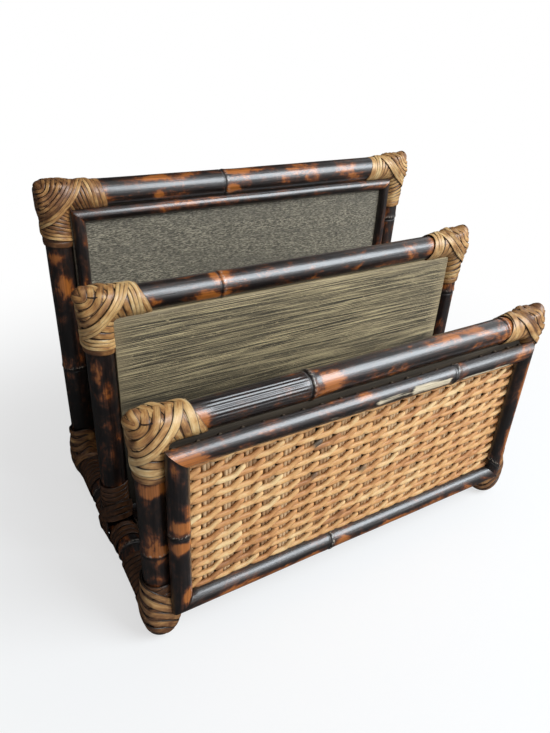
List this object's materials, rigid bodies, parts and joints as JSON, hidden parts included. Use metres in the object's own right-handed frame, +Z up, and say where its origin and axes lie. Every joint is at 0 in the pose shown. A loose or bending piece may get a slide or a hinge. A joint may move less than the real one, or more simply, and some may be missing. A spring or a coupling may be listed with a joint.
{
  "type": "letter holder",
  "caption": "Tiered letter holder of dark bamboo frames bound with cane at the corners, with a woven cane front panel, wood panels behind and open sides.",
  "frame": {"origin": "middle of the outline on the ground, below the middle frame", "axes": "+X to the right along the rails, +Y from the low front frame to the tall rear frame, +Z up"},
  "size_m": [0.2606, 0.1659, 0.2038],
  "materials": {
    "burnt_bamboo": "glossy lacquer over scorched bamboo, nearly black with rust brown patches",
    "split_bamboo": "glossy lacquer over scorched split bamboo, worn pale in places",
    "cane_binding": "flat cane peel, semi-gloss, straw to brown",
    "woven_cane": "round cane, satin, golden tan",
    "veneer_panel": "dark stained veneer with open grain, satin",
    "plain_board": "dark stained thin board, matte"
  },
  "bodies": {
    "root": {"floor_board": "plain_board", "front_backing": "plain_board", "front_bottom_rail": "burnt_bamboo", "front_left_foot_binding": "cane_binding", "front_left_top_binding": "cane_binding", "front_post_left": "burnt_bamboo", "front_post_right": "burnt_bamboo", "front_right_foot_binding": "cane_binding", "front_right_top_binding": "cane_binding", "front_top_rail": "burnt_bamboo", "front_trim_bottom": "split_bamboo", "front_trim_left": "split_bamboo", "front_trim_right": "split_bamboo", "front_trim_top": "split_bamboo", "middle_bottom_rail": "burnt_bamboo", "middle_left_tee_binding": "cane_binding", "middle_left_top_binding": "cane_binding", "middle_panel": "veneer_panel", "middle_post_left": "burnt_bamboo", "middle_post_right": "burnt_bamboo", "middle_right_tee_binding": "cane_binding", "middle_right_top_binding": "cane_binding", "middle_top_rail": "burnt_bamboo", "rear_bottom_rail": "burnt_bamboo", "rear_left_foot_binding": "cane_binding", "rear_left_top_binding": "cane_binding", "rear_panel": "veneer_panel", "rear_post_left": "burnt_bamboo", "rear_post_right": "burnt_bamboo", "rear_right_foot_binding": "cane_binding", "rear_right_top_binding": "cane_binding", "rear_top_rail": "burnt_bamboo", "rear_trim_bottom": "split_bamboo", "rear_trim_left": "split_bamboo", "rear_trim_right": "split_bamboo", "rear_trim_top": "split_bamboo", "side_rail_left": "burnt_bamboo", "side_rail_right": "burnt_bamboo", "weave_stakes": "woven_cane", "weft_row_01": "woven_cane", "weft_row_02": "woven_cane", "weft_row_03": "woven_cane", "weft_row_04": "woven_cane", "weft_row_05": "woven_cane", "weft_row_06": "woven_cane", "weft_row_07": "woven_cane", "weft_row_08": "woven_cane", "weft_row_09": "woven_cane", "weft_row_10": "woven_cane", "weft_row_11": "woven_cane", "weft_row_12": "woven_cane", "weft_row_13": "woven_cane"}
  },
  "joints": []
}
